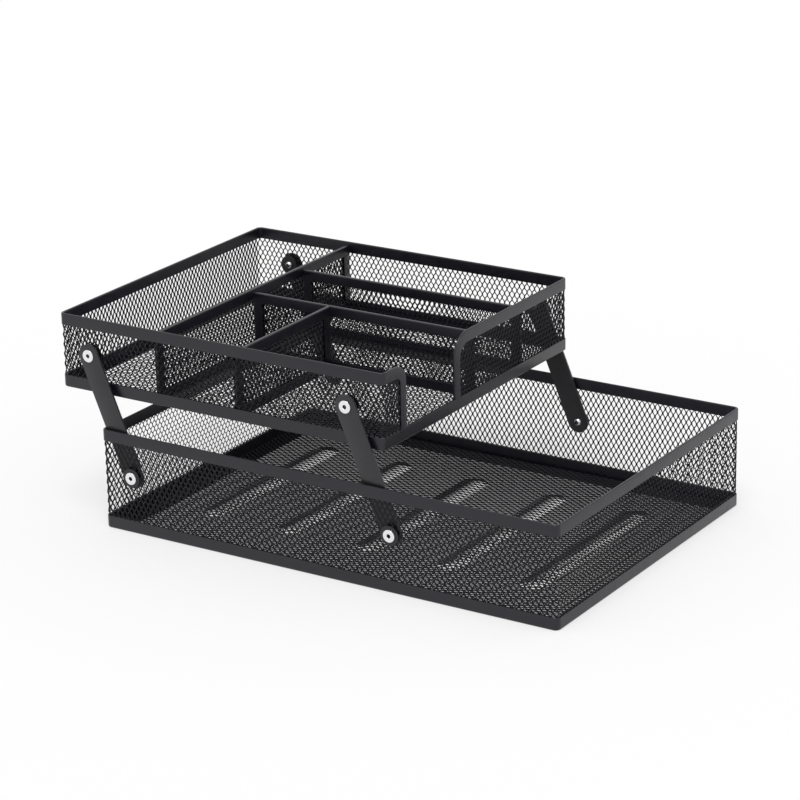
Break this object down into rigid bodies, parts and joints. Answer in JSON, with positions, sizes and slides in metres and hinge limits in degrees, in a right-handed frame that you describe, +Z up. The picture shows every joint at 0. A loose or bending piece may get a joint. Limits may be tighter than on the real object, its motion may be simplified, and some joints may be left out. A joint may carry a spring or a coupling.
{
  "type": "desk organizer",
  "caption": "Two-tier desk organizer of black expanded metal: a paper tray, and a divided tray above it that swings on flat links and nests inside.",
  "frame": {"origin": "on the desk, under the middle of the organizer's outline as it stands open", "axes": "+X to the front, where the lower tray reaches out from under the upper one, +Y to the side away from the mouth, +Z up"},
  "size_m": [0.3858, 0.2478, 0.1437],
  "materials": {
    "rim_coat": "satin black powder coat on folded strip",
    "mesh_coat": "satin black powder coat on expanded mesh",
    "link_coat": "satin black powder coat on flat bar",
    "washer_black": "matt black",
    "rivet_steel": "bright zinc-plated"
  },
  "bodies": {
    "lower_tray": {"lower_top_rim": "rim_coat", "lower_bottom_rim": "rim_coat", "lower_ledge": "rim_coat", "lower_base_mesh": "mesh_coat", "lower_wall_near": "mesh_coat", "lower_wall_far": "mesh_coat", "lower_wall_rear": "mesh_coat", "lower_wall_front": "mesh_coat", "lower_wall_bends": "mesh_coat", "lower_washers": "washer_black", "lower_spacers": "washer_black", "lower_rivets": "rivet_steel"},
    "link_rear_near": {"link_rear_near": "link_coat"},
    "link_rear_far": {"link_rear_far": "link_coat"},
    "link_front_near": {"link_front_near": "link_coat"},
    "link_front_far": {"link_front_far": "link_coat"},
    "upper_tray": {"upper_top_rim": "rim_coat", "upper_bottom_rim": "rim_coat", "upper_ledge": "rim_coat", "upper_base_mesh": "mesh_coat", "upper_wall_near": "mesh_coat", "upper_wall_far": "mesh_coat", "upper_wall_rear": "mesh_coat", "upper_wall_front_near": "mesh_coat", "upper_wall_front_far": "mesh_coat", "upper_wall_bends": "mesh_coat", "cross_divider_frame": "rim_coat", "cross_divider_mesh": "mesh_coat", "far_divider_frame": "rim_coat", "far_divider_mesh": "mesh_coat", "near_divider_frame": "rim_coat", "near_divider_mesh": "mesh_coat", "short_divider_frame": "rim_coat", "short_divider_mesh": "mesh_coat", "upper_washers": "washer_black", "upper_spacers": "washer_black", "upper_rivets": "rivet_steel"}
  },
  "joints": [
    {"name": "fold", "type": "hinge", "parent": "lower_tray", "child": "link_rear_near", "pos_m": [-0.13356, -0.11925, 0.039], "axis": [0, 1, 0], "range_deg": [0, 118.3]},
    {"name": "fold_rear_far", "type": "hinge", "parent": "lower_tray", "child": "link_rear_far", "pos_m": [-0.13356, 0.11925, 0.039], "axis": [0, 1, 0], "range_deg": [0, 118.3]},
    {"name": "fold_front_near", "type": "hinge", "parent": "lower_tray", "child": "link_front_near", "pos_m": [0.07044, -0.11925, 0.039], "axis": [0, 1, 0], "range_deg": [0, 118.3]},
    {"name": "fold_front_far", "type": "hinge", "parent": "lower_tray", "child": "link_front_far", "pos_m": [0.07044, 0.11925, 0.039], "axis": [0, 1, 0], "range_deg": [0, 118.3]},
    {"name": "tray_level", "type": "hinge", "parent": "link_rear_near", "child": "upper_tray", "pos_m": [-0.16644, -0.11925, 0.11879], "axis": [0, 1, 0], "range_deg": [-118.3, 0]}
  ],
  "couplings": [
    {"joint": "fold_rear_far", "follows": "fold", "ratio": 1},
    {"joint": "fold_front_near", "follows": "fold", "ratio": 1},
    {"joint": "fold_front_far", "follows": "fold", "ratio": 1},
    {"joint": "tray_level", "follows": "fold", "ratio": -1}
  ]
}
